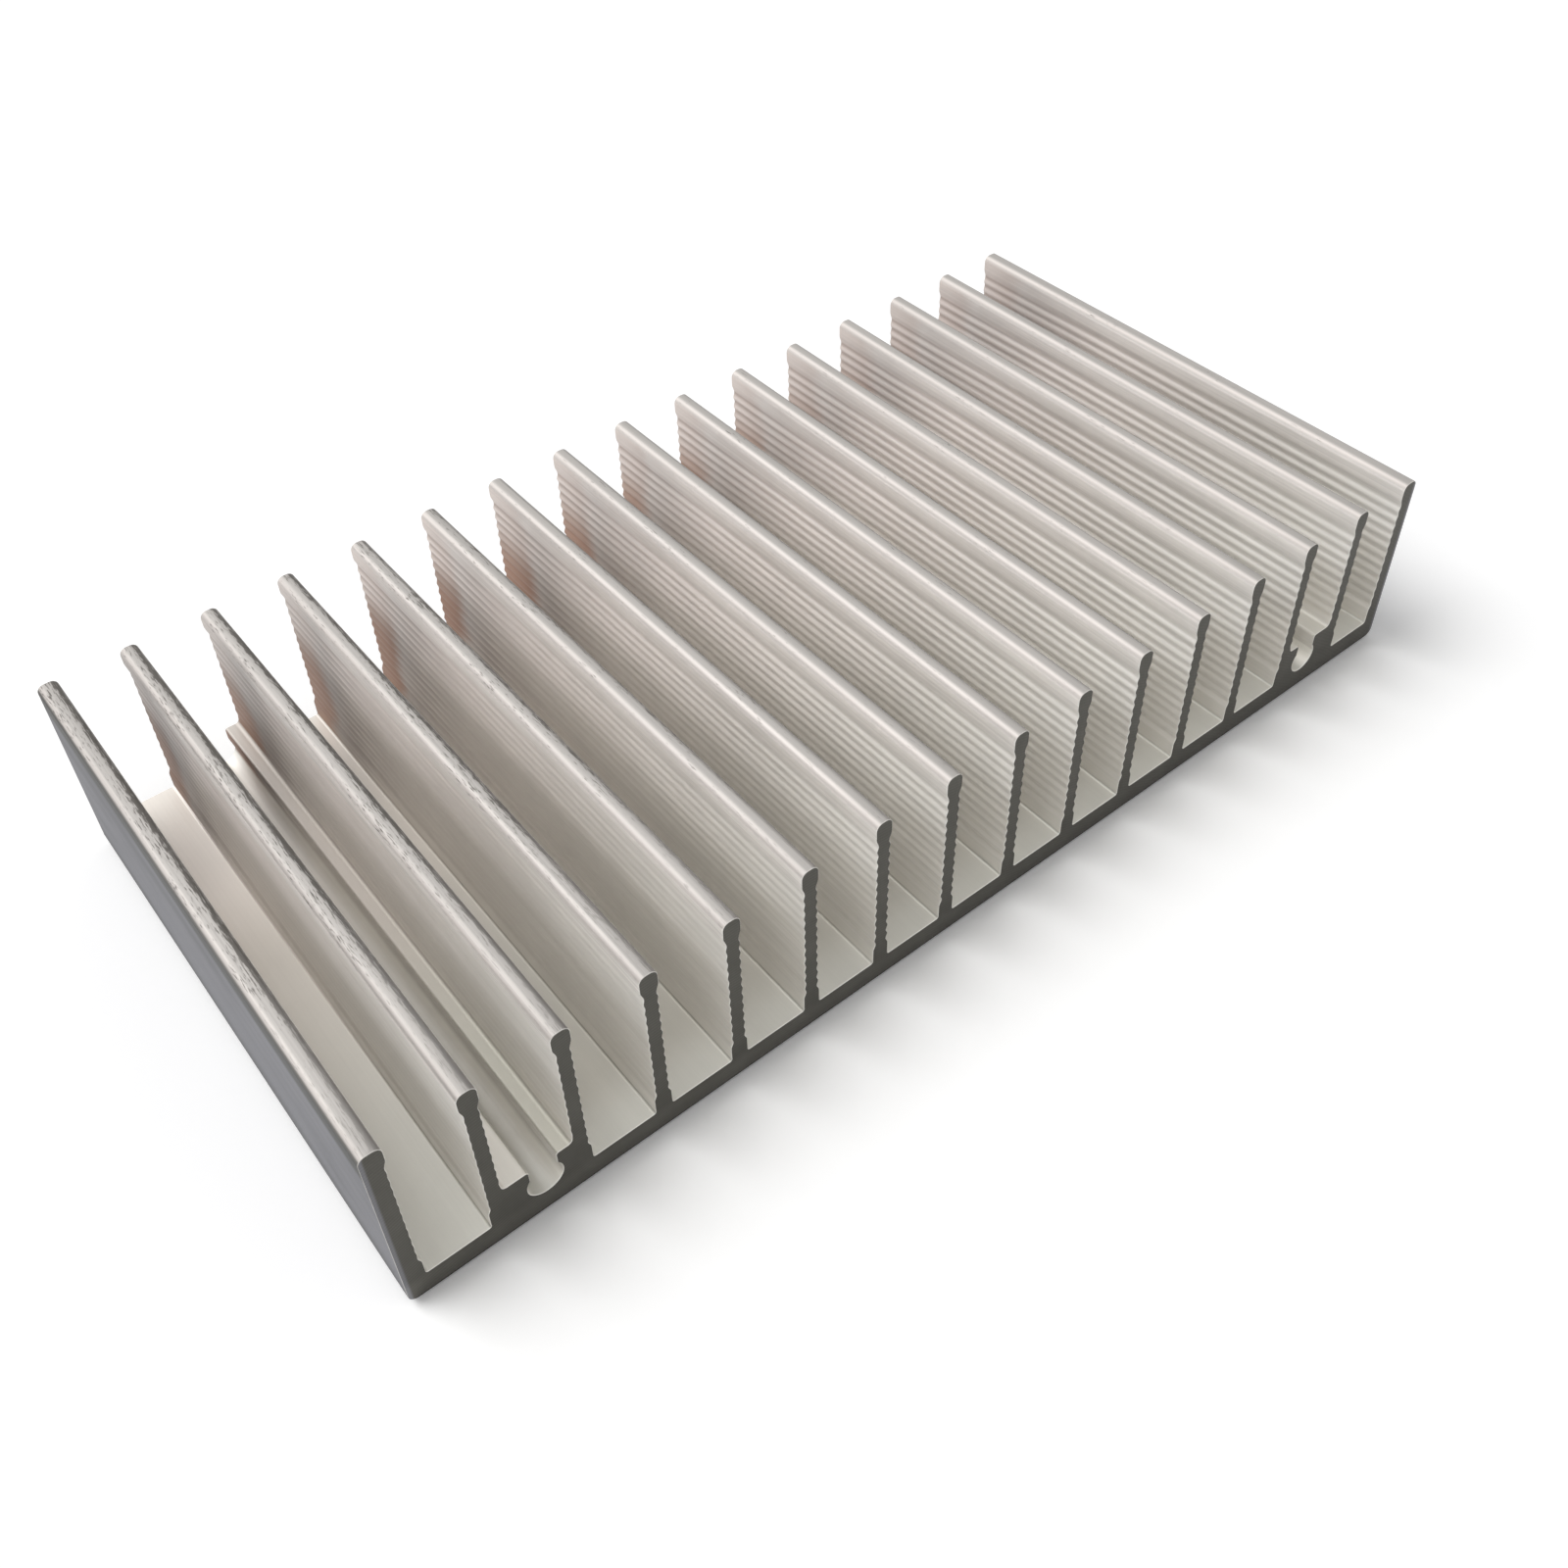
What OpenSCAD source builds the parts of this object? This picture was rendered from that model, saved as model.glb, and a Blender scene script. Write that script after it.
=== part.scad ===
// Extruded aluminium heat sink: a flat base, a row of tall fins with rippled
// flanks, and two screw channels that run the whole length of the section.
// X is the width across the fins, Y the direction of extrusion, Z is up.
// The origin is at the middle of the underside.

/* [Body] */
// Width across the outer faces of the two outer fins
body_w = 150; // [135:0.5:220]
// Length of the piece cut from the extruded bar
body_l = 76; // [30:1:200]
// Height from the underside to the tips of the fins
body_h = 26.3; // [18:0.1:50]
// Thickness of the base under the air channels
base_t = 3.2; // [2.5:0.1:6]
// Radius of the two long bottom corners
base_corner_r = 1.1; // [0.3:0.1:1.8]

/* [Fins] */
// Number of fins, with the two outer ones
fin_count = 16; // [8:1:18]
// Thickness of an inner fin in the valleys of its ripples
fin_t = 1.55; // [1:0.05:2]
// Thickness of an outer fin in the valleys of its one rippled flank
outer_fin_t = 2.1; // [1.5:0.1:4]
// Clear width of the air channel beside an outer fin
end_channel_w = 7.9; // [6:0.1:9]
// Thickness of the plain head at the top of a fin
fin_head_t = 2.2; // [1.9:0.05:2.8]
// Height of the head, from the last valley to the tip
fin_head_h = 3.45; // [2.5:0.05:5]
// Height over which the stem widens into the head
fin_neck_h = 1.4; // [0.6:0.1:1.7]
// Radius of the rounded corners at the tip of a fin
fin_tip_r = 0.7; // [0.3:0.05:0.85]
// Thickness of the foot of a fin
fin_foot_t = 2.15; // [1.8:0.05:3]
// Height of the foot, from the channel's floor to the first valley
fin_foot_h = 3.15; // [1.6:0.05:5]
// Height over which the foot narrows into the stem
fin_ankle_h = 1; // [0.4:0.1:1.2]
// Radius in the corners of the channel's floor
floor_r = 0.3; // [0.1:0.05:0.6]

/* [Ripples] */
// Spacing of the ripples up a flank
ripple_pitch = 1.5; // [1:0.1:3]
// Height of a ripple's ridge over its valley
ripple_h = 0.21; // [0.05:0.01:0.3]

/* [Screw channels] */
// Air channel that holds each screw channel, counted from the outside
screw_bay = 2; // [2:1:3]
// Diameter of the round core that a screw cuts its thread into
screw_core_d = 4.2; // [3:0.1:4.6]
// Width of the open mouth between the lips
screw_mouth_w = 3.2; // [1.5:0.1:3.6]
// Metal left under the round core
screw_floor_t = 2.95; // [2:0.05:6]
// Height of the lips over the axis of the round core
screw_lip_h = 3; // [2.6:0.1:5]
// Radius of the lips' edges at the mouth
screw_lip_r = 0.35; // [0.1:0.05:0.6]
// Radius where the lips meet the fins on both sides
screw_ledge_r = 0.6; // [0.1:0.05:0.9]
// Shift of the core from the middle of its bay towards the centre line
screw_shift = 0.5; // [0:0.05:0.6]

/* [Finish] */
// Colour of the metal
metal_colour = "#B2AEA7"; // ["#B2AEA7":Bare aluminium, "#2B2B2D":Black anodised]

/* [Hidden] */

// Steps in a quarter round, in one ripple, and in one ease
round_steps = 4;
ripple_steps = 4;
ease_steps = 3;
// Length that a cutter runs past the face that it opens
cut_past = 1;
// Least height between a flank's lowest point and the next one
least_step = 0.1;

half_w = body_w / 2;
first_fin_x = -half_w + outer_fin_t + end_channel_w + fin_t / 2;
fin_pitch = -2 * first_fin_x / (fin_count - 3);
channel_count = fin_count - 1;

// The rippled stretch of a flank lies between the foot and the head
stem_z0 = base_t + fin_foot_h;
stem_z1 = body_h - fin_head_h;
ripple_count = max(1, round((stem_z1 - stem_z0) / ripple_pitch));
ripple_step = (stem_z1 - stem_z0) / ripple_count;

head_bulge = (fin_head_t - fin_t) / 2;
foot_bulge = (fin_foot_t - fin_t) / 2;

screw_z = screw_floor_t + screw_core_d / 2;
ledge_z = screw_z + screw_lip_h;
screw_x = first_fin_x + fin_pitch * (screw_bay - 1.5) + screw_shift;

// Smooth rise from 0 to 1 as t goes from 0 to 1
function ease(t) = (1 - cos(180 * min(1, max(0, t)))) / 2;

// How far a flank stands out from the line of its valleys at height z
function bulge(z) =
    z < stem_z0 ? foot_bulge * ease((stem_z0 - z) / fin_ankle_h) :
    z > stem_z1 ? head_bulge * ease((z - stem_z1) / fin_neck_h) :
    ripple_h * (1 - cos(360 * (z - stem_z0) / ripple_step)) / 2;

// Heights at which a flank has a point, from the foot up to the head. Half a
// step's offset gives each ridge and each valley a narrow flat of its own.
flank_heights = concat(
    [for (i = [0 : ease_steps]) stem_z0 - fin_ankle_h * (1 - i / ease_steps)],
    [for (i = [1 : ripple_count * ripple_steps]) stem_z0 + ripple_step * (i - 0.5) / ripple_steps],
    [for (i = [0 : ease_steps]) stem_z1 + fin_neck_h * i / ease_steps]
);

// Floor and corner radius of channel i, counted from the left from 0
function has_screw(i) = i == screw_bay - 1 || i == channel_count - screw_bay;
function floor_z(i) = has_screw(i) ? ledge_z : base_t;
function corner_r(i) = has_screw(i) ? screw_ledge_r : floor_r;

// Middle of inner fin i, counted from the left from 0, the outer fin
function fin_x(i) = first_fin_x + fin_pitch * (i - 1);

// Line of the valleys on the left and on the right side of channel i
function left_line(i) = i == 0 ? -half_w + outer_fin_t : fin_x(i) + fin_t / 2;
function right_line(i) = i == channel_count - 1 ? half_w - outer_fin_t : fin_x(i + 1) - fin_t / 2;

// Quarter round about [x, z] from angle a0 to angle a1
function arc(x, z, r, a0, a1) = [
    for (i = [0 : round_steps])
        let (a = a0 + (a1 - a0) * i / round_steps)
            [x + r * cos(a), z + r * sin(a)]
];

// Flank of channel i as [distance from the line of the valleys, height], going up
function flank(i) = let (z0 = floor_z(i) + corner_r(i)) concat(
    [[bulge(z0), z0]],
    [for (z = flank_heights) if (z > z0 + least_step) [bulge(z), z]]
);

// Outline of channel i from the tip of the fin on its right, down, across and up
function channel(i) =
    let (
        side = flank(i),
        xl = left_line(i),
        xr = right_line(i),
        r = corner_r(i),
        z0 = floor_z(i),
        b = bulge(z0 + r),
        tip_b = head_bulge - fin_tip_r,
        tip_z = body_h - fin_tip_r,
        last = len(side) - 1
    )
    concat(
        arc(xr - tip_b, tip_z, fin_tip_r, 90, 180),
        [for (k = [last : -1 : 1]) [xr - side[k][0], side[k][1]]],
        arc(xr - b - r, z0 + r, r, 0, -90),
        arc(xl + b + r, z0 + r, r, -90, -180),
        [for (k = [1 : last]) [xl + side[k][0], side[k][1]]],
        arc(xl + tip_b, tip_z, fin_tip_r, 0, 90)
    );

// Outline of the whole section, anticlockwise from the bottom left corner
section_outline = concat(
    arc(-half_w + base_corner_r, base_corner_r, base_corner_r, 180, 270),
    arc(half_w - base_corner_r, base_corner_r, base_corner_r, 270, 360),
    arc(half_w - fin_tip_r, body_h - fin_tip_r, fin_tip_r, 0, 90),
    [for (i = [channel_count - 1 : -1 : 0]) each channel(i)],
    arc(-half_w + fin_tip_r, body_h - fin_tip_r, fin_tip_r, 90, 180)
);

// Open mouth of a screw channel, with rounded edges where it meets the ledge
mouth_outline = concat(
    [[-screw_mouth_w / 2, screw_z]],
    [[screw_mouth_w / 2, screw_z]],
    arc(screw_mouth_w / 2 + screw_lip_r, ledge_z - screw_lip_r, screw_lip_r, 180, 90),
    [[screw_mouth_w / 2 + screw_lip_r, ledge_z + cut_past]],
    [[-screw_mouth_w / 2 - screw_lip_r, ledge_z + cut_past]],
    arc(-screw_mouth_w / 2 - screw_lip_r, ledge_z - screw_lip_r, screw_lip_r, 90, 0)
);

module screw_channel() {
    translate([0, screw_z]) circle(d = screw_core_d, $fn = 64);
    polygon(mouth_outline);
}

module section() {
    difference() {
        polygon(section_outline);
        translate([screw_x, 0]) screw_channel();
        translate([-screw_x, 0]) screw_channel();
    }
}

module heat_sink() {
    color(metal_colour)
        rotate([90, 0, 0])
            linear_extrude(height = body_l, center = true)
                section();
}

heat_sink();
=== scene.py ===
"""Looks for an extruded aluminium heat sink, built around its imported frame.

One Geometry Nodes tree draws the whole section from the same sizes as the solid and
runs it along the length. Its long faces are bare extruded metal, with the fine lines
that the die leaves, and its two ends are sawn. X is the width, Y the direction of
extrusion, Z is up. Sizes are written in millimetres and enter the scene in metres.
"""

import math

import bpy
from mathutils import Euler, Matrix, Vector


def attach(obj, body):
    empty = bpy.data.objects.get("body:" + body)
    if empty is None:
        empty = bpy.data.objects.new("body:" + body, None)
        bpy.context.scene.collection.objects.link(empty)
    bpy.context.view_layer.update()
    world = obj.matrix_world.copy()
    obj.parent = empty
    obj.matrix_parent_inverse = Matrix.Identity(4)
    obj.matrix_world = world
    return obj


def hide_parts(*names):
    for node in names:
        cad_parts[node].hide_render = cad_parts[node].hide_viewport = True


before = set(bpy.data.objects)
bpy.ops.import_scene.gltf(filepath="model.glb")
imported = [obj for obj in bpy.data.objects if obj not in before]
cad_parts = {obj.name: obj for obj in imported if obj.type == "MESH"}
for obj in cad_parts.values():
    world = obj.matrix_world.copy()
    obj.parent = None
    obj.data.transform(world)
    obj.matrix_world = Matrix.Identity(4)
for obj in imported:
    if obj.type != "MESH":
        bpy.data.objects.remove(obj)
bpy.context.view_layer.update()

MM = 0.001

# ------------------------------------------------------------------ sizes

# Lengths of the section, in millimetres, under the names that the tree gives its inputs
LENGTHS = {
    "Body width": 150,
    "Body length": 76,
    "Body height": 26.3,
    "Base thickness": 3.2,
    "Base corner radius": 1.1,
    "Fin thickness": 1.55,
    "Outer fin thickness": 2.1,
    "End channel width": 7.9,
    "Fin head thickness": 2.2,
    "Fin head height": 3.45,
    "Fin neck height": 1.4,
    "Fin tip radius": 0.9,
    "Fin foot thickness": 2.15,
    "Fin foot height": 3.15,
    "Fin ankle height": 1.0,
    "Floor radius": 0.3,
    "Ripple pitch": 1.5,
    "Ripple height": 0.21,
    "Left ripple height": 0.06,
    "Right ripple height": 0.165,
    "Screw core diameter": 4.2,
    "Screw mouth width": 3.2,
    "Screw floor thickness": 2.95,
    "Screw lip height": 3.0,
    "Screw lip radius": 0.35,
    "Screw ledge radius": 0.6,
    "Screw shift": 0.5,
    "Edge break": 0.05,
}
# Whole numbers of the section
COUNTS = {
    "Fin count": 16,
    "Screw bay": 2,
    "Left low bays": 6,
    "Right low bays": 6,
}

# Steps of the outline: in the round of a tip, the neck, one ripple, the ankle, the
# round in a floor's corner, a lip's edge, half a screw core and a base corner
TIP_STEPS = 8
NECK_STEPS = 6
RIPPLE_STEPS = 8
ANKLE_STEPS = 6
CORNER_STEPS = 5
LIP_STEPS = 6
CORE_STEPS = 18
BASE_CORNER_STEPS = 8
# Lengths of metal between the two sawn ends
LENGTH_STEPS = 5
# Flat strip beside a round, so that the flat beyond it shades flat, in millimetres
FLAT_STRIP = 0.05
# Points of the outline closer than this are one point, in millimetres
SAME_POINT = 0.002
# Edges that turn further than this stay sharp, in degrees
SHARP_ANGLE = 30
# A face whose normal points this far along the bar, or further, is a sawn end
FACING_END = 0.99


# ------------------------------------------------------------------ sums in nodes

class Field:
    """A value in a node tree, so that the section's rule can be written as sums."""

    def __init__(self, tree, socket):
        self.tree = tree
        self.socket = socket

    def work(self, operation, *others, clamp=False):
        node = self.tree.nodes.new("ShaderNodeMath")
        node.operation = operation
        node.use_clamp = clamp
        for slot, value in zip(node.inputs, (self, *others)):
            if isinstance(value, Field):
                self.tree.links.new(value.socket, slot)
            else:
                slot.default_value = value
        return Field(self.tree, node.outputs[0])

    def __add__(self, other):
        return self.work("ADD", other)

    def __sub__(self, other):
        return self.work("SUBTRACT", other)

    def __rsub__(self, other):
        return self.work("MULTIPLY", -1.0) + other

    def __mul__(self, other):
        return self.work("MULTIPLY", other)

    def __truediv__(self, other):
        return self.work("DIVIDE", other)

    __radd__ = __add__
    __rmul__ = __mul__

    def share(self):
        """This value kept between 0 and 1."""
        return self.work("ADD", 0.0, clamp=True)

    def least(self, other):
        return self.work("MINIMUM", other)

    def most(self, other):
        return self.work("MAXIMUM", other)

    def floor(self):
        return self.work("FLOOR")

    def remainder(self, other):
        return self.work("MODULO", other)

    def __abs__(self):
        return self.work("ABSOLUTE")

    def sin(self):
        return self.work("SINE")

    def cos(self):
        return self.work("COSINE")

    def below(self, other):
        """1 where this value is less than the other, else 0."""
        return self.work("LESS_THAN", other)

    def above(self, other):
        return self.work("GREATER_THAN", other)

    def near(self, other, reach):
        """1 where this value is within reach of the other, else 0."""
        return abs(self - other).below(reach)


def choose(switch, off, on):
    """off where switch is 0, on where it is 1."""
    return (1.0 - switch) * off + switch * on


def ease(t):
    """Smooth rise from 0 to 1 as t goes from 0 to 1."""
    return (1.0 - (t.share() * math.pi).cos()) * 0.5


def rise(value, low, high):
    """0 below low, 1 above high, and smooth between them."""
    node = value.tree.nodes.new("ShaderNodeMapRange")
    node.interpolation_type = "SMOOTHSTEP"
    node.inputs["From Min"].default_value = low
    node.inputs["From Max"].default_value = high
    value.tree.links.new(value.socket, node.inputs["Value"])
    return Field(value.tree, node.outputs[0])


def fall(value, low, high):
    """1 below low, 0 above high, and smooth between them."""
    return 1.0 - rise(value, low, high)


def quarter(t):
    """Sine and cosine of a quarter turn's share t."""
    angle = t.share() * (math.pi / 2)
    return angle.sin(), angle.cos()


# ------------------------------------------------------------------ the section

def section_rule(size, index):
    """x and height of outline point number index, and how many points there are.

    The outline runs over the channels from left to right, down the right side, along
    the underside and up the left side. Each channel has the same number of points: its
    left half goes from the fin's tip down to the middle of its floor, and its right
    half is the same run the other way.
    """
    half_width = size["Body width"] * 0.5
    height = size["Body height"]
    fin = size["Fin thickness"]
    first_fin = size["Outer fin thickness"] + size["End channel width"] + fin * 0.5 - half_width
    pitch = first_fin * -2.0 / (size["Fin count"] - 3.0)
    channels = size["Fin count"] - 1.0
    stem_low = size["Base thickness"] + size["Fin foot height"]
    stem_high = height - size["Fin head height"]
    ripples = ((stem_high - stem_low) / size["Ripple pitch"]).work("ROUND").most(1.0)
    ripple = (stem_high - stem_low) / ripples
    head_bulge = (size["Fin head thickness"] - fin) * 0.5
    foot_bulge = (size["Fin foot thickness"] - fin) * 0.5

    # Where each stretch of half a channel starts, counted in points
    flank_start = TIP_STEPS + 1
    stem_steps = ripples * RIPPLE_STEPS
    corner_start = stem_steps + (flank_start + NECK_STEPS + ANKLE_STEPS + 1)
    strip_start = corner_start + (CORNER_STEPS + 1)
    lip_start = strip_start + 1
    core_start = lip_start + (LIP_STEPS + 1)
    half_run = core_start + (CORE_STEPS + 1)
    run = half_run * 2
    rim_half = TIP_STEPS + BASE_CORNER_STEPS + 5
    count = run * channels + 2 * rim_half

    point = index.remainder(count)
    bay = (point / run).floor()
    step = point - bay * run
    on_right = step.above(half_run - 0.5)
    step = step.least(run - 1.0 - step)
    side = 1.0 - on_right * 2.0

    # The bay's two lines of valleys, its floor and its corners
    screw_from_edge = size["Screw bay"] - 1.0
    is_screw = bay.near(screw_from_edge, 0.5).most(bay.near(channels - size["Screw bay"], 0.5))
    screw_z = size["Screw floor thickness"] + size["Screw core diameter"] * 0.5
    ledge_z = screw_z + size["Screw lip height"]
    floor_z = choose(is_screw, size["Base thickness"], ledge_z)
    corner_r = choose(is_screw, size["Floor radius"], size["Screw ledge radius"])
    fin_left = first_fin + pitch * (bay - 1.0) + fin * 0.5
    fin_right = first_fin + pitch * bay - fin * 0.5
    wall = half_width - size["Outer fin thickness"]
    left_line = choose(bay.below(0.5), fin_left, wall * -1.0)
    right_line = choose(bay.above(channels - 1.5), fin_right, wall)
    line = choose(on_right, left_line, right_line)

    # Ripples are lower in the channels near both sides
    from_left = (bay / size["Left low bays"]).share()
    from_right = ((channels - 1.0 - bay) / size["Right low bays"]).share()
    crest = choose(from_left, size["Left ripple height"], size["Ripple height"])
    crest = crest.least(choose(from_right, size["Right ripple height"], size["Ripple height"]))

    def bulge(z):
        stem = z.most(stem_low).least(stem_high)
        wave = ((stem - stem_low) / ripple * (2 * math.pi)).cos()
        foot = ease((stem_low - z) / size["Fin ankle height"]) * foot_bulge
        head = ease((z - stem_high) / size["Fin neck height"]) * head_bulge
        return foot + head + (1.0 - wave) * 0.5 * crest

    # Round of the tip
    tip_r = size["Fin tip radius"]
    tip_sin, tip_cos = quarter(step / TIP_STEPS)
    tip_out = head_bulge - tip_r + tip_r * tip_sin
    tip_z = height - tip_r + tip_r * tip_cos

    # Flank: the neck, the ripples and the ankle, no lower than the round of the floor
    down = step - flank_start
    stem_down = (down - NECK_STEPS).most(0.0).least(stem_steps)
    past_stem = down - stem_steps - NECK_STEPS
    flank_z = (
        stem_high
        + size["Fin neck height"] * (1.0 - (down / NECK_STEPS).share())
        - ripple * stem_down / RIPPLE_STEPS
        - size["Fin ankle height"] * (past_stem / ANKLE_STEPS).share()
    )
    round_top = floor_z + corner_r
    in_corner = step.above(corner_start - 0.5)
    flank_z = choose(in_corner, flank_z.most(round_top), round_top)
    corner_sin, corner_cos = quarter((step - corner_start) / CORNER_STEPS)
    strip = (step - strip_start + 1.0).share() * (FLAT_STRIP * MM)
    flank_out = bulge(flank_z) + corner_r * (1.0 - corner_cos) + strip
    flank_z = flank_z - corner_r * corner_sin

    on_flank = step.above(flank_start - 0.5)
    x = line + side * choose(on_flank, tip_out, flank_out)
    z = choose(on_flank, tip_z, flank_z)

    # Lip and round core of a screw channel, measured from the middle of its mouth
    mouth = size["Screw mouth width"] * 0.5
    lip_r = size["Screw lip radius"]
    core_r = size["Screw core diameter"] * 0.5
    lip_sin, lip_cos = quarter((step - lip_start) / LIP_STEPS)
    lip_out = mouth + lip_r * (1.0 - lip_sin)
    lip_z = ledge_z - lip_r * (1.0 - lip_cos)
    core_top = math.pi - (mouth / core_r).work("ARCSINE")
    core_turn = core_top * (1.0 - ((step - core_start) / CORE_STEPS).share())
    in_core = step.above(core_start - 0.5)
    screw_out = choose(in_core, lip_out, core_r * core_turn.sin())
    screw_down = choose(in_core, lip_z, screw_z - core_r * core_turn.cos())
    screw_x = first_fin + pitch * (size["Screw bay"] - 1.5) + size["Screw shift"]
    screw_x = screw_x * (1.0 - bay.above(channels * 0.5) * 2.0)
    in_screw = is_screw * step.above(lip_start - 0.5)
    x = choose(in_screw, x, screw_x - side * screw_out)
    z = choose(in_screw, z, screw_down)

    # Rim: the outer edge of the last tip, the outer face, the base's corner and half
    # of the underside, and the same again on the left
    rim = point - run * channels
    rim_side = 1.0 - rim.above(rim_half - 0.5) * 2.0
    rim = rim.least(2.0 * rim_half - 1.0 - rim)
    base_r = size["Base corner radius"]
    rim_sin, rim_cos = quarter(rim / TIP_STEPS)
    base_start = TIP_STEPS + 3
    base_sin, base_cos = quarter((rim - base_start) / BASE_CORNER_STEPS)
    strip_down = (rim - TIP_STEPS).share() * (FLAT_STRIP * MM)
    strip_up = (base_start - rim).share() * (FLAT_STRIP * MM)
    strip_in = (rim - (base_start + BASE_CORNER_STEPS)).share() * (FLAT_STRIP * MM)
    on_base = rim.above(TIP_STEPS + 1.5)
    rim_out = choose(
        on_base,
        half_width - tip_r * (1.0 - rim_sin),
        half_width - base_r * (1.0 - base_cos) - strip_in,
    )
    rim_z = choose(
        on_base,
        height - tip_r * (1.0 - rim_cos) - strip_down,
        base_r * (1.0 - base_sin) + strip_up,
    )
    in_rim = point.above(run * channels - 0.5)
    x = choose(in_rim, x, rim_side * rim_out)
    z = choose(in_rim, z, rim_z)
    return x, z, count


def section_tree():
    """Tree that makes the whole heat sink from its named sizes."""
    tree = bpy.data.node_groups.new("Extruded section", "GeometryNodeTree")
    for name, value in LENGTHS.items():
        socket = tree.interface.new_socket(name, in_out="INPUT", socket_type="NodeSocketFloat")
        socket.subtype = "DISTANCE"
        socket.default_value = value * MM
    for name, value in COUNTS.items():
        socket = tree.interface.new_socket(name, in_out="INPUT", socket_type="NodeSocketInt")
        socket.default_value = value
    for name in ("Extruded metal", "Sawn metal"):
        tree.interface.new_socket(name, in_out="INPUT", socket_type="NodeSocketMaterial")
    tree.interface.new_socket("Heat sink", in_out="OUTPUT", socket_type="NodeSocketGeometry")

    def add(kind, **settings):
        node = tree.nodes.new(kind)
        for name, value in settings.items():
            setattr(node, name, value)
        return node

    def link(source, target):
        tree.links.new(source.socket if isinstance(source, Field) else source, target)

    inputs = add("NodeGroupInput")
    size = {name: Field(tree, inputs.outputs[name]) for name in (*LENGTHS, *COUNTS)}

    # A sheet with a column for each outline point and a row for each stop along the
    # length. Its last column comes back to the first.
    rows = LENGTH_STEPS + 3
    number = Field(tree, add("GeometryNodeInputIndex").outputs[0])
    column = (number / rows).floor()
    row = number - column * rows
    x, z, count = section_rule(size, column)
    half_length = size["Body length"] * 0.5
    edge = size["Edge break"]
    along = ((row - 1.0) / LENGTH_STEPS).share()
    inner = half_length - edge
    y = inner * (1.0 - along * 2.0) + edge * (row.below(0.5) - row.above(rows - 1.5))

    sheet = add("GeometryNodeMeshGrid")
    link(count + 1.0, sheet.inputs["Vertices X"])
    sheet.inputs["Vertices Y"].default_value = rows
    place = add("ShaderNodeCombineXYZ")
    for value, slot in zip((x, z, y), place.inputs):
        link(value, slot)
    drawn = add("GeometryNodeSetPosition")
    link(sheet.outputs["Mesh"], drawn.inputs["Geometry"])
    link(place.outputs[0], drawn.inputs["Position"])
    tube = add("GeometryNodeMergeByDistance")
    tube.inputs["Distance"].default_value = SAME_POINT * MM
    link(drawn.outputs[0], tube.inputs["Geometry"])

    # The two end rows step into the metal, which breaks the sawn edges
    spot = add("ShaderNodeSeparateXYZ")
    link(add("GeometryNodeInputPosition").outputs[0], spot.inputs[0])
    reach = Field(tree, spot.outputs[2])
    at_end = abs(reach).above(half_length - edge * 0.5)
    inward = add("ShaderNodeVectorMath", operation="SCALE")
    link(add("GeometryNodeInputNormal").outputs[0], inward.inputs[0])
    link(edge * -1.0, inward.inputs["Scale"])
    broken = add("GeometryNodeSetPosition")
    link(tube.outputs[0], broken.inputs["Geometry"])
    link(at_end, broken.inputs["Selection"])
    link(inward.outputs[0], broken.inputs["Offset"])

    # The loop of one end, filled, closes both ends
    neighbours = add("GeometryNodeInputMeshEdgeNeighbors")
    open_edge = Field(tree, neighbours.outputs[0]).below(1.5)
    loop = add("GeometryNodeMeshToCurve")
    link(broken.outputs[0], loop.inputs["Mesh"])
    link(open_edge * reach.below(0.0), loop.inputs["Selection"])
    sawn = add("GeometryNodeFillCurve")
    link(loop.outputs[0], sawn.inputs["Curve"])
    turned = add("GeometryNodeFlipFaces")
    link(sawn.outputs[0], turned.inputs[0])
    whole = add("GeometryNodeJoinGeometry")
    link(broken.outputs[0], whole.inputs[0])
    for end, way in ((sawn, 1.0), (turned, -1.0)):
        shift = add("ShaderNodeCombineXYZ")
        link(half_length * way, shift.inputs[2])
        moved = add("GeometryNodeTransform")
        link(end.outputs[0], moved.inputs["Geometry"])
        link(shift.outputs[0], moved.inputs["Translation"])
        link(moved.outputs[0], whole.inputs[0])
    closed = add("GeometryNodeMergeByDistance")
    closed.inputs["Distance"].default_value = SAME_POINT * MM
    link(whole.outputs[0], closed.inputs["Geometry"])
    stood = add("GeometryNodeTransform")
    stood.inputs["Rotation"].default_value = (math.pi / 2, 0, 0)
    link(closed.outputs[0], stood.inputs["Geometry"])

    smooth = add("GeometryNodeSetShadeSmooth", domain="FACE")
    link(stood.outputs[0], smooth.inputs["Geometry"])
    crisp = add("GeometryNodeSetShadeSmooth", domain="EDGE")
    crisp.inputs["Shade Smooth"].default_value = False
    turn = Field(tree, add("GeometryNodeInputMeshEdgeAngle").outputs[0])
    link(smooth.outputs[0], crisp.inputs["Geometry"])
    link(turn.above(math.radians(SHARP_ANGLE)), crisp.inputs["Selection"])

    real = add("GeometryNodeRealizeInstances")
    link(crisp.outputs[0], real.inputs[0])
    skin = add("GeometryNodeSetMaterial")
    link(real.outputs[0], skin.inputs["Geometry"])
    link(inputs.outputs["Extruded metal"], skin.inputs["Material"])
    facing = add("ShaderNodeSeparateXYZ")
    link(add("GeometryNodeInputNormal").outputs[0], facing.inputs[0])
    is_sawn = abs(Field(tree, facing.outputs[1])).above(FACING_END)
    cut = add("GeometryNodeSetMaterial")
    link(skin.outputs[0], cut.inputs["Geometry"])
    link(is_sawn, cut.inputs["Selection"])
    link(inputs.outputs["Sawn metal"], cut.inputs["Material"])
    link(cut.outputs[0], add("NodeGroupOutput").inputs[0])
    return tree


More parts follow.
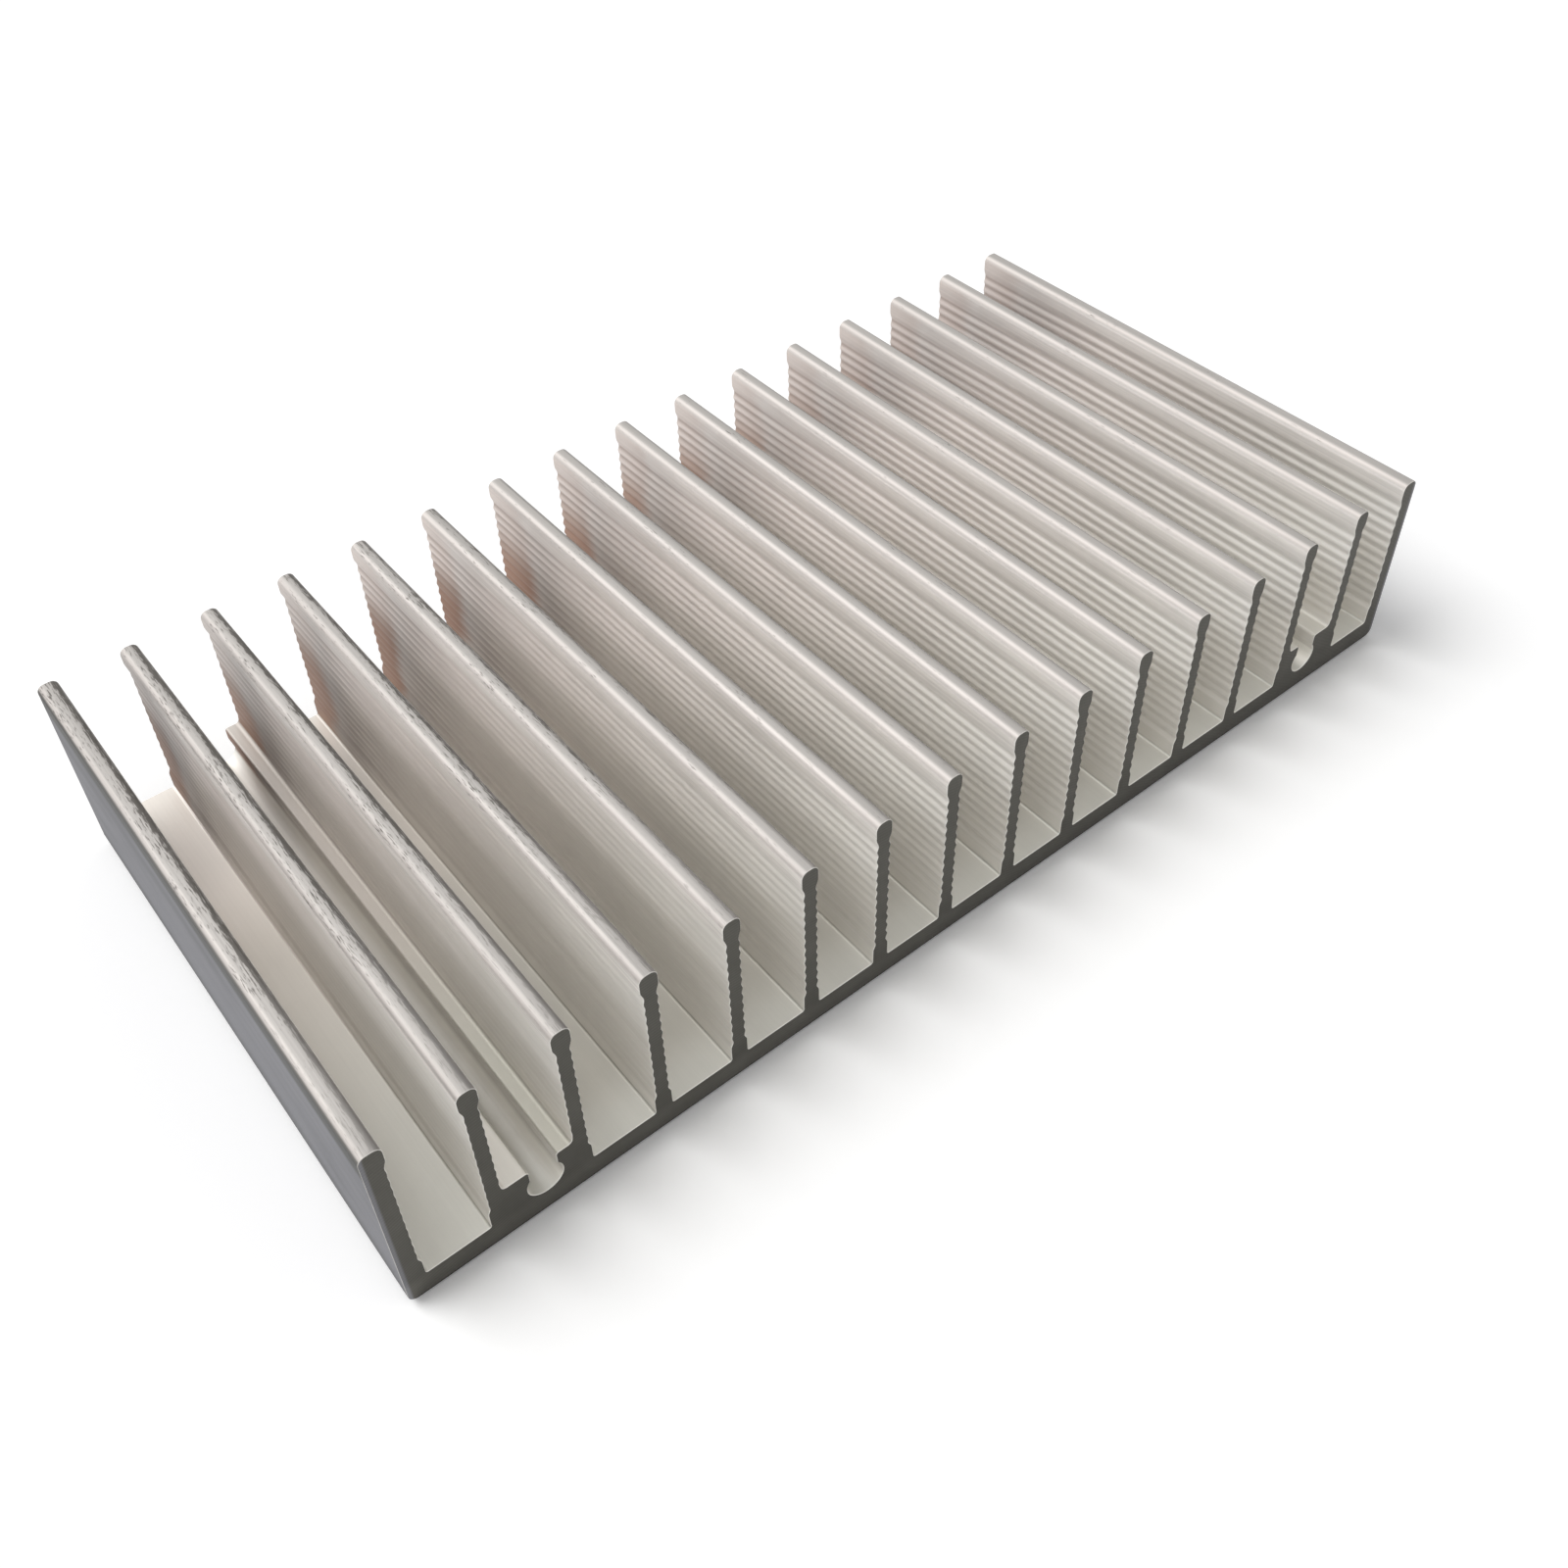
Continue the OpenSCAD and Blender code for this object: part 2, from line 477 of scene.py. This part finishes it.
def make_heat_sink(extruded, sawn):
    """The whole heat sink as one plain mesh."""
    piece = bpy.data.objects.new("heat_sink_metal", bpy.data.meshes.new("blank"))
    bpy.context.scene.collection.objects.link(piece)
    tree = section_tree()
    draw = piece.modifiers.new("Extruded section", "NODES")
    draw.node_group = tree
    values = {**{name: value * MM for name, value in LENGTHS.items()}, **COUNTS}
    values["Extruded metal"] = extruded
    values["Sawn metal"] = sawn
    for item in tree.interface.items_tree:
        if item.in_out == "INPUT":
            draw[item.identifier] = values[item.name]
    evaluated = piece.evaluated_get(bpy.context.evaluated_depsgraph_get())
    plain = bpy.data.meshes.new_from_object(evaluated)
    piece.modifiers.remove(draw)
    while plain.materials[0] is None:
        plain.materials.pop(index=0)
    plain.name = "heat_sink_section"
    piece.data = plain
    return piece


# ------------------------------------------------------------------ finishes

# Colours of the metal, as linear red, green and blue. Many hold painted light or shade.
CHANNEL_NEAR = (0.945, 0.93, 0.90)
CHANNEL_FAR = (0.97, 0.93, 0.905)
# Painted shade low down in the channels
CHANNEL_LOW_SHADE_NEAR = (0.81, 0.79, 0.75)
CHANNEL_LOW_SHADE_FAR = (0.815, 0.785, 0.745)
# Painted light on the fins' heads
HEAD_PAINTED_LIGHT = (0.98, 0.955, 0.93)
# Floors and ledges in painted shade, with painted light on the far floors and on the first
# ledge's near part
FLOOR_SHADE_NEAR = (0.57, 0.565, 0.53)
FLOOR_DEEP_SHADE = (0.49, 0.475, 0.435)
FLOOR_LIT_FAR = (0.665, 0.63, 0.585)
FLOOR_FIRST_LIT_FAR = (0.80, 0.755, 0.71)
LEDGE_SHADE_NEAR = (0.455, 0.445, 0.40)
LEDGE_FIRST_LIT_NEAR = (0.68, 0.66, 0.62)
LEDGE_SHADE_FAR = (0.51, 0.475, 0.44)
# Painted light on the screw channels' walls
SCREW_WALL_LIT = (0.99, 0.975, 0.93)
# Tips: painted light on the left rounds, painted shade on the right ones, and a painted shade
# line
TIP_LEFT_LIT = (0.58, 0.545, 0.52)
TIP_TOP = (0.45, 0.43, 0.41)
TIP_RIGHT_SHADED = (0.30, 0.285, 0.27)
TIP_SHADE_LINE = (0.085, 0.085, 0.078)
SCORED_METAL = (0.10, 0.09, 0.08)
# Outer faces dark with painted shade
OUTER_SHADED_METAL = (0.20, 0.20, 0.215)
OUTER_SHADED_DARK = (0.11, 0.11, 0.115)
# Far end: painted brown reflection, painted shade in stripes and painted grey shade
BROWN_REFLECTION = (0.385, 0.22, 0.15)
STRIPED_SHADE = (0.27, 0.23, 0.205)
GREY_FAR_SHADE = (0.42, 0.39, 0.37)
# Edges at the saw cuts: rubbed metal and a painted highlight
RUBBED_EDGE_HIGHLIGHT = (0.80, 0.78, 0.74)
# Painted shade along the bottom edge
BOTTOM_EDGE_SHADE = (0.02, 0.02, 0.02)
# The underside and its scuffs
UNDER_METAL = (0.44, 0.435, 0.425)
UNDER_SCUFFED = (0.26, 0.255, 0.25)
# Sawn ends dark, partly their own colour and partly painted shade
SAWN_SHADED_METAL = (0.108, 0.104, 0.092)
SAWN_SHADED_DARK = (0.078, 0.075, 0.065)

# Places on the bar, in millimetres. X and Y run from its middle, with the near end at
# minus HALF_LENGTH, and heights run from its underside.
HALF_WIDTH = LENGTHS["Body width"] / 2
HALF_LENGTH = LENGTHS["Body length"] / 2
HEIGHT = LENGTHS["Body height"]
BASE = LENGTHS["Base thickness"]
STEM_LOW = BASE + LENGTHS["Fin foot height"]
STEM_HIGH = HEIGHT - LENGTHS["Fin head height"]
TIP_START = HEIGHT - LENGTHS["Fin tip radius"]
SCREW_BAY_X = 59.28
DARK_BAND_HEIGHT = 19.5

# Middle of the saw's blade and the step from one tooth's mark to the next
BLADE_X, BLADE_Z = -38.0, -118.0
TOOTH_STEP = 0.42


class Finish:
    """A metal's node tree, with its places and heights in millimetres."""

    def __init__(self, name):
        self.material = bpy.data.materials.new(name)
        self.material.use_nodes = True
        self.tree = self.material.node_tree
        self.shader = self.tree.nodes["Principled BSDF"]
        self.shader.inputs["Metallic"].default_value = 1.0
        where = self.tree.nodes.new("ShaderNodeTexCoord")
        self.place = self.stretch(where.outputs["Object"], (1 / MM, 1 / MM, 1 / MM))
        apart = self.tree.nodes.new("ShaderNodeSeparateXYZ")
        self.tree.links.new(self.place, apart.inputs[0])
        self.x, self.y, self.z = (Field(self.tree, socket) for socket in apart.outputs)
        facing = self.tree.nodes.new("ShaderNodeSeparateXYZ")
        self.tree.links.new(where.outputs["Normal"], facing.inputs[0])
        self.right = Field(self.tree, facing.outputs[0])
        self.up = Field(self.tree, facing.outputs[2])

    def stretch(self, vector, scale):
        node = self.tree.nodes.new("ShaderNodeVectorMath")
        node.operation = "MULTIPLY"
        self.tree.links.new(vector, node.inputs[0])
        node.inputs[1].default_value = scale
        return node.outputs[0]

    def noise(self, across, along, detail, seed):
        """Noise from 0 to 1 with so many grains in a millimetre across and along the bar."""
        node = self.tree.nodes.new("ShaderNodeTexNoise")
        node.noise_dimensions = "4D"
        node.inputs["W"].default_value = seed
        node.inputs["Scale"].default_value = 1.0
        node.inputs["Detail"].default_value = detail
        spot = self.stretch(self.place, (across, along, across))
        self.tree.links.new(spot, node.inputs["Vector"])
        return Field(self.tree, node.outputs[0])

    def blend(self, share, under, over):
        """Colour under, covered by colour over as far as share says."""
        node = self.tree.nodes.new("ShaderNodeMix")
        node.data_type = "RGBA"
        self.tree.links.new(share.socket, node.inputs[0])
        for slot, colour in ((node.inputs[6], under), (node.inputs[7], over)):
            if isinstance(colour, tuple):
                slot.default_value = (*colour, 1)
            else:
                self.tree.links.new(colour, slot)
        return node.outputs[2]

    def brighten(self, colour, factor):
        """Colour times a factor about 1."""
        node = self.tree.nodes.new("ShaderNodeVectorMath")
        node.operation = "SCALE"
        self.tree.links.new(colour, node.inputs[0])
        self.tree.links.new(factor.socket, node.inputs["Scale"])
        return node.outputs[0]

    def finish(self, colour, roughness, height):
        """Puts a colour, a roughness and a height in millimetres on the metal."""
        self.tree.links.new(colour, self.shader.inputs["Base Color"])
        self.tree.links.new(roughness.socket, self.shader.inputs["Roughness"])
        bump = self.tree.nodes.new("ShaderNodeBump")
        bump.inputs["Strength"].default_value = 1.0
        bump.inputs["Distance"].default_value = MM
        self.tree.links.new(height.socket, bump.inputs["Height"])
        self.tree.links.new(bump.outputs[0], self.shader.inputs["Normal"])
        return self.material


class Grain:
    """Uneven marks that the die and the years leave, each from 0 to 1."""

    def __init__(self, metal):
        self.lines = metal.noise(4.0, 0.015, detail=3.0, seed=0.0)
        self.bands = metal.noise(0.5, 0.008, detail=2.0, seed=3.0)
        self.clouds = metal.noise(0.10, 0.05, detail=3.0, seed=7.0)
        self.specks = metal.noise(7.0, 5.0, detail=1.0, seed=11.0)


class Part:
    """Where each part of the extrusion is, as shares from 0 to 1."""

    def __init__(self, metal, grain):
        # Share of the way from the near end to the far half, where the flanks are warmer and the
        # floors carry painted light
        self.along = rise(metal.y, -HALF_LENGTH, HALF_LENGTH * 0.5)
        # Uneven distance from the far end, in millimetres
        self.reach = (
            HALF_LENGTH - metal.y + (grain.clouds - 0.5) * 9.0 + (grain.lines - 0.5) * 3.0
        )
        # Distance from the nearer outer face, in millimetres
        self.from_side = HALF_WIDTH - abs(metal.x)

        self.tip = rise(metal.z, TIP_START - 0.1, TIP_START + 0.1) * rise(metal.up, 0.1, 0.6)
        self.worn = fall(metal.x, -62.0, 5.0)

        self.ledge = rise(metal.z, BASE + 2.0, BASE + 3.0)
        right_ledge = rise(metal.x, -10.0, 60.0) * self.ledge
        corner = fall(metal.z, BASE + 0.15, BASE + 0.4) * rise(metal.up, 0.0, 0.4)
        self.flat = rise(metal.up, 0.3, 0.8) * (1.0 - right_ledge * 0.45)
        self.flat = self.flat.most(corner) * (1.0 - self.tip)

        side_face = fall(self.from_side, 0.02, 0.25) * fall(metal.z, HEIGHT - 0.8, HEIGHT - 0.5)
        self.outer = side_face.most(fall(metal.z, 1.4, 2.2))


def flank_colour(metal, part):
    """Neutral at the near end and warmer at the far one, with painted shade lower down and
    painted light on the heads.
    """
    colour = metal.blend(part.along, CHANNEL_NEAR, CHANNEL_FAR)
    # Painted shade lower down the flanks
    dull = metal.blend(part.along, CHANNEL_LOW_SHADE_NEAR, CHANNEL_LOW_SHADE_FAR)
    colour = metal.blend(fall(metal.z, 14.5, 20.0), colour, dull)
    # Painted light on the heads
    return metal.blend(rise(metal.z, STEM_HIGH, STEM_HIGH + 1.5), colour, HEAD_PAINTED_LIGHT)


def add_far_reflection_and_shade(metal, part, colour):
    """Painted brown reflection at the far end and painted grey shade beside it, with painted
    shade in stripes along the ripples' valleys.
    """
    ripple = (metal.z - STEM_LOW) * (2 * math.pi / LENGTHS["Ripple pitch"])
    valley = ripple.cos() * 0.5 + 0.5
    valley = choose(rise(metal.z, STEM_HIGH, STEM_HIGH + 0.5), valley, 0.3)
    deep = fall(metal.z, 12.0, 21.0)
    left = fall(metal.x, -52.0, -30.0)
    # Painted shade in the ripples' valleys, painted grey shade and painted brown reflection near
    # the far end
    striped = fall(part.reach, 5.0, 26.0) * (valley * 0.55 + 0.03)
    grey = fall(part.reach, 8.0, 17.0) * (deep * 0.40 + 0.15 + left * 0.40)
    brown = fall(part.reach, 4.5, 8.5) * (deep * 0.60 + 0.22 - left * 0.12)
    colour = metal.blend(striped.share(), colour, STRIPED_SHADE)
    colour = metal.blend(grey.share(), colour, GREY_FAR_SHADE)
    return metal.blend(brown.share(), colour, BROWN_REFLECTION)


def add_floor_shade_and_light(metal, part, colour):
    """Floors and screw-channel ledges in painted shade, with painted light towards the far end,
    the screw channels' walls in painted light, and a painted highlight in the first channel's
    corner."""
    # Painted shade on the floors, with painted light towards the far end
    floor = metal.blend(part.along, FLOOR_SHADE_NEAR, FLOOR_LIT_FAR)
    past_first = rise(metal.x, -66.0, -64.0)
    # Painted shade on the floors just inside the near end
    inside = rise(metal.y, 1.5 - HALF_LENGTH, 8.0 - HALF_LENGTH) * past_first
    floor = metal.blend(inside * (1.0 - part.along), floor, FLOOR_DEEP_SHADE)
    # Painted light on the first channel's far floor
    last = rise(metal.y, HALF_LENGTH - 16.0, HALF_LENGTH - 2.0)
    first_far = (1.0 - past_first) * rise(metal.y, 4.0, 20.0) * (1.0 - last * 0.8)
    floor = metal.blend(first_far, floor, FLOOR_FIRST_LIT_FAR)

    # Ledges in painted shade, with painted light on the first ledge's near part
    ledges = metal.blend(rise(metal.y, -30.0, 10.0), LEDGE_SHADE_NEAR, LEDGE_SHADE_FAR)
    first_ledge = fall(metal.x, -61.0, -60.0) * fall(metal.y, -32.0, -22.0)
    ledges = metal.blend(first_ledge, ledges, LEDGE_FIRST_LIT_NEAR)
    floor = metal.blend(part.ledge, floor, ledges)
    colour = metal.blend(part.flat, colour, floor)

    # Painted light on the screw channels' walls
    from_screw = abs(abs(metal.x) - SCREW_BAY_X)
    wall = fall(from_screw, 2.3, 2.6) * fall(metal.z, 5.0, 5.4) * fall(metal.right, -0.95, -0.05)
    colour = metal.blend(wall, colour, SCREW_WALL_LIT)

    # Painted highlight along the first channel's corner
    line = rise(metal.z, BASE + 0.02, BASE + 0.1) * fall(metal.z, BASE + 0.2, BASE + 0.35)
    line = line * fall(metal.x, -64.5, -64.0) * rise(metal.y, -25.0, 5.0)
    return metal.blend(line, colour, CHANNEL_FAR)


def add_outer_faces(metal, grain, part, colour):
    """Outer faces dark with painted shade, more painted shade along the bottom, darker streaks
    and one darker band.
    """
    # Painted shade along the bottom
    bottom = fall(metal.z + (grain.clouds - 0.5) * 5.0, 1.5, 6.0)
    streaks = rise(grain.clouds + grain.bands * 0.5, 0.72, 1.0)
    from_dark_band = abs(metal.z - DARK_BAND_HEIGHT + (grain.clouds - 0.5) * 3.0)
    dark_band = fall(from_dark_band, 1.0, 3.5) * rise(metal.y, -16.0, -2.0)
    dark = bottom.most(streaks * 0.6).most(dark_band * 0.55)
    # The outer faces' dark colours are painted shade
    outer = metal.blend(dark * 0.8, OUTER_SHADED_METAL, OUTER_SHADED_DARK)
    return metal.blend(part.outer, colour, outer)


def add_tips(metal, part, colour):
    """Tips, with painted light on their left round and painted shade on the right one, and a
    painted shade line where the outer fins' tips meet the outer faces."""
    # Painted light on the left rounds and painted shade on the right ones
    top = metal.blend(rise(metal.right, -0.7, -0.1), TIP_LEFT_LIT, TIP_TOP)
    top = metal.blend(rise(metal.right, 0.1, 0.7), top, TIP_RIGHT_SHADED)
    colour = metal.blend(part.tip, colour, top)
    # Painted shade line under the outer fins' tips
    line = fall(part.from_side, 0.08, 0.35) * rise(metal.z, HEIGHT - 4.2, HEIGHT - 2.4)
    return metal.blend(line * 0.85, colour, TIP_SHADE_LINE)


def tip_scores(metal, part):
    """Where fine scores run along the tips: most on the left of the bar, on the tips'
    right rounds, and past the near end."""
    fine = metal.noise(8.0, 0.8, detail=4.0, seed=19.0)
    patches = metal.noise(0.5, 0.12, detail=2.0, seed=23.0)
    side = rise(metal.right, -0.1, 0.45) * (1.0 - rise(metal.right, 0.6, 0.9) * 0.6)
    level = fine + (patches - 0.5) * 0.4 + part.worn * (side * 0.20 + 0.08) + side * 0.04
    past_near = rise(metal.y, -34.0, -5.0) * 0.65 + 0.35
    return rise(level, 0.63, 0.79) * part.tip * past_near


def add_wear_and_painted_edges(metal, colour, scored):
    """Scores, edges at the saw cuts made bright as rubbed metal and as a painted highlight,
    painted shade along the bottom edge, and the flat underside, scuffed where it has slid on a
    bench."""
    colour = metal.blend(scored * 0.8, colour, SCORED_METAL)
    # Edges at the saw cuts, bright as rubbed metal and as a painted highlight
    edge = rise(abs(metal.y), HALF_LENGTH - 0.12, HALF_LENGTH - 0.04)
    colour = metal.blend(edge * 0.5, colour, RUBBED_EDGE_HIGHLIGHT)
    # Painted shade along the bottom edge
    colour = metal.blend(fall(metal.z, 0.1, 0.35), colour, BOTTOM_EDGE_SHADE)
    under = fall(metal.z, 0.02, 0.1) * fall(metal.up, -0.98, -0.8)
    scuffs = rise(metal.noise(1.6, 0.35, detail=4.0, seed=31.0), 0.60, 0.72)
    scuffed = metal.blend(scuffs * 0.5, UNDER_METAL, UNDER_SCUFFED)
    return metal.blend(under, colour, scuffed)


def tone_and_painted_light(metal, grain, part):
    """Factor about 1 that makes the metal uneven, with painted shade high up at the near end, on
    both sides and at the far left, and painted light on the floors towards the right."""
    lines, bands, clouds = grain.lines - 0.5, grain.bands - 0.5, grain.clouds - 0.5
    head = rise(metal.z, STEM_HIGH, STEM_HIGH + 1.0)
    tone = 0.98 + lines * 0.12 + bands * 0.10 + clouds * 0.08
    tone = tone + head * lines * (part.worn * 0.35 + 0.15)
    tone = tone + part.outer * (lines * 0.40 + bands * 0.35)

    high = rise(metal.z, 12.0, 18.0)
    near_end = fall(metal.y, -HALF_LENGTH, 9.0 - HALF_LENGTH)
    left = fall(metal.x, -60.0, -30.0)
    right = rise(metal.x, 15.0, 60.0)
    # Painted shade high up at the near end and at the left
    tone = tone - near_end * high * 0.06 - left * high * 0.03
    # Painted shade on the right flanks
    tone = tone - right * (high * 0.035 + 0.02) * (1.0 - part.tip)
    # Painted light on the floors towards the right
    right_floor = rise(metal.x, -30.0, 50.0) * part.flat * (1.0 - part.ledge)
    tone = tone + right_floor * 0.10

    # Painted shade at the far end of the flanks at the left
    far_end = fall(part.reach, 5.0, 10.0)
    on_flank = (1.0 - part.flat.most(part.tip)) * (1.0 - part.outer)
    low_left = fall(metal.x, -30.0, -12.0) * fall(metal.z, 16.0, 20.0)
    first_fins = fall(metal.x, -63.0, -60.0)
    return tone - far_end * on_flank * (low_left * 0.15 + first_fins * 0.20)


def extruded_aluminium():
    """Bare metal as it leaves the die, with fine lines along the bar, and with painted light and
    shade in its colour.
    """
    metal = Finish("extruded_aluminium")
    grain = Grain(metal)
    part = Part(metal, grain)
    colour = flank_colour(metal, part)
    colour = add_far_reflection_and_shade(metal, part, colour)
    colour = add_floor_shade_and_light(metal, part, colour)
    colour = add_outer_faces(metal, grain, part, colour)
    colour = add_tips(metal, part, colour)
    scored = tip_scores(metal, part)
    colour = add_wear_and_painted_edges(metal, colour, scored)
    colour = metal.brighten(colour, tone_and_painted_light(metal, grain, part))

    roughness = 0.61 + (grain.lines - 0.5) * 0.12 + (grain.clouds - 0.5) * 0.12
    roughness = roughness + part.tip * 0.04 + rise(metal.x, 10.0, 55.0) * 0.04
    height = grain.lines * 0.012 + grain.bands * 0.01 + grain.specks * 0.003 - scored * 0.02
    return metal.finish(colour, roughness, height)


def sawn_aluminium():
    """Finely scored face of a saw cut, dark partly in its own right and partly as painted shade.
    The blade's teeth leave long shallow arcs.
    """
    metal = Finish("sawn_aluminium")
    across, down = metal.x - BLADE_X, metal.z - BLADE_Z
    reach = (across * across + down * down).work("SQRT")
    wander = metal.noise(0.08, 0.08, detail=2.0, seed=5.0)
    teeth = ((reach + wander * 1.5) * (2 * math.pi / TOOTH_STEP)).sin() * 0.5 + 0.5
    strokes = metal.noise(0.35, 0.35, detail=3.0, seed=9.0)
    grain = metal.noise(6.0, 6.0, detail=2.0, seed=13.0)
    colour = metal.blend(strokes, SAWN_SHADED_METAL, SAWN_SHADED_DARK)
    # Near the sides the cut takes the outer faces' painted shade
    side_edge = fall(HALF_WIDTH - abs(metal.x), 0.3, 0.6)
    colour = metal.blend(side_edge * 0.8, colour, OUTER_SHADED_METAL)
    # Painted shade along the bottom edge
    colour = metal.blend(fall(metal.z, 0.1, 0.35), colour, BOTTOM_EDGE_SHADE)
    # Painted light on the cut's low band, mostly at the left
    low = fall(metal.z, 2.0, 4.0) * (1.0 - rise(metal.x, -50.0, 40.0) * 0.8)
    tone = 1.0 + (teeth - 0.5) * 0.10 + (grain - 0.5) * 0.3 + low * 0.3
    roughness = 0.55 + (grain - 0.5) * 0.2
    height = teeth * 0.006 + grain * 0.008
    return metal.finish(metal.brighten(colour, tone), roughness, height)


heat_sink = make_heat_sink(extruded_aluminium(), sawn_aluminium())
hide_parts("heat_sink")
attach(heat_sink, "root")


# ------------------------------------------------------------------ the studio

# Side of the square floor, and how far it lies below the part, in metres
FLOOR_SIZE = 3.0
FLOOR_GAP = 0.0004
# Grey of the floor, and what is added to it where it is seen, so that it shows white
FLOOR_GREY = 0.8
FLOOR_LIFT = 0.32
# Strength of the room's soft light
ROOM_LIGHT = 0.48
# Soft box: the direction it lies in, its distance and width in metres, and its power
LAMP_WAY = (-0.40, 0.36, 0.85)
LAMP_DISTANCE = 4.0
LAMP_WIDTH = 2.7
LAMP_WATTS = 100.0
# Camera: its lens in millimetres, its place in millimetres and its turn in degrees
CAMERA_LENS = 37.10
CAMERA_SHIFT = -0.075
CAMERA_PLACE = (-89.20, -117.95, 151.22)
CAMERA_TURN = (46.622, 1.103, -38.794)


def seen(tree):
    """1 where the camera sees a thing, straight, reflected or through glass, else 0."""
    path = tree.nodes.new("ShaderNodeLightPath")
    share = Field(tree, path.outputs["Is Camera Ray"])
    share = share.most(Field(tree, path.outputs["Is Glossy Ray"]))
    return share.most(Field(tree, path.outputs["Is Transmission Ray"]))


def make_floor():
    """Wide pale floor that shows white to the camera and keeps the shadow."""
    half = FLOOR_SIZE / 2
    spots = ((-half, -half), (half, -half), (half, half), (-half, half))
    mesh = bpy.data.meshes.new("studio_floor")
    mesh.from_pydata([(x, y, -FLOOR_GAP) for x, y in spots], [], [(0, 1, 2, 3)])
    floor = bpy.data.objects.new("studio_floor", mesh)
    bpy.context.scene.collection.objects.link(floor)

    paper = bpy.data.materials.new("white_floor")
    paper.use_nodes = True
    tree = paper.node_tree
    tree.nodes.clear()
    out = tree.nodes.new("ShaderNodeOutputMaterial")
    matt = tree.nodes.new("ShaderNodeBsdfDiffuse")
    matt.inputs["Color"].default_value = (FLOOR_GREY, FLOOR_GREY, FLOOR_GREY, 1)
    lift = tree.nodes.new("ShaderNodeBsdfDiffuse")
    lift.inputs["Color"].default_value = (FLOOR_LIFT, FLOOR_LIFT, FLOOR_LIFT, 1)
    add = tree.nodes.new("ShaderNodeAddShader")
    mix = tree.nodes.new("ShaderNodeMixShader")
    tree.links.new(matt.outputs[0], add.inputs[0])
    tree.links.new(lift.outputs[0], add.inputs[1])
    tree.links.new(seen(tree).socket, mix.inputs[0])
    tree.links.new(matt.outputs[0], mix.inputs[1])
    tree.links.new(add.outputs[0], mix.inputs[2])
    tree.links.new(mix.outputs[0], out.inputs[0])
    mesh.materials.append(paper)
    return floor


make_floor()


def make_world():
    """Soft white light all round. What is seen of it is white."""
    world = bpy.data.worlds.new("studio")
    bpy.context.scene.world = world
    world.use_nodes = True
    tree = world.node_tree
    tree.nodes.clear()
    out = tree.nodes.new("ShaderNodeOutputWorld")
    glow = tree.nodes.new("ShaderNodeBackground")
    glow.inputs["Color"].default_value = (1, 1, 1, 1)
    tree.links.new(choose(seen(tree), ROOM_LIGHT, 1.0).socket, glow.inputs["Strength"])
    tree.links.new(glow.outputs[0], out.inputs[0])


def make_lamp():
    """Soft box high up and behind, turned to the heat sink."""
    lamp = bpy.data.lights.new("high_back_softbox", "AREA")
    lamp.shape = "DISK"
    lamp.size = LAMP_WIDTH
    lamp.energy = LAMP_WATTS
    holder = bpy.data.objects.new("high_back_softbox", lamp)
    way = Vector(LAMP_WAY).normalized()
    holder.location = way * LAMP_DISTANCE
    holder.rotation_euler = way.to_track_quat("Z", "Y").to_euler()
    holder.visible_camera = False
    bpy.context.scene.collection.objects.link(holder)


def make_camera():
    lens = bpy.data.cameras.new("camera")
    lens.sensor_width = 36
    lens.lens = CAMERA_LENS
    lens.shift_y = CAMERA_SHIFT
    lens.clip_start = 0.01
    camera = bpy.data.objects.new("camera", lens)
    camera.location = Vector(CAMERA_PLACE) * MM
    camera.rotation_euler = Euler([math.radians(angle) for angle in CAMERA_TURN])
    bpy.context.scene.collection.objects.link(camera)
    bpy.context.scene.camera = camera


make_world()
make_lamp()
make_camera()

bpy.context.scene.view_settings.view_transform = "Standard"
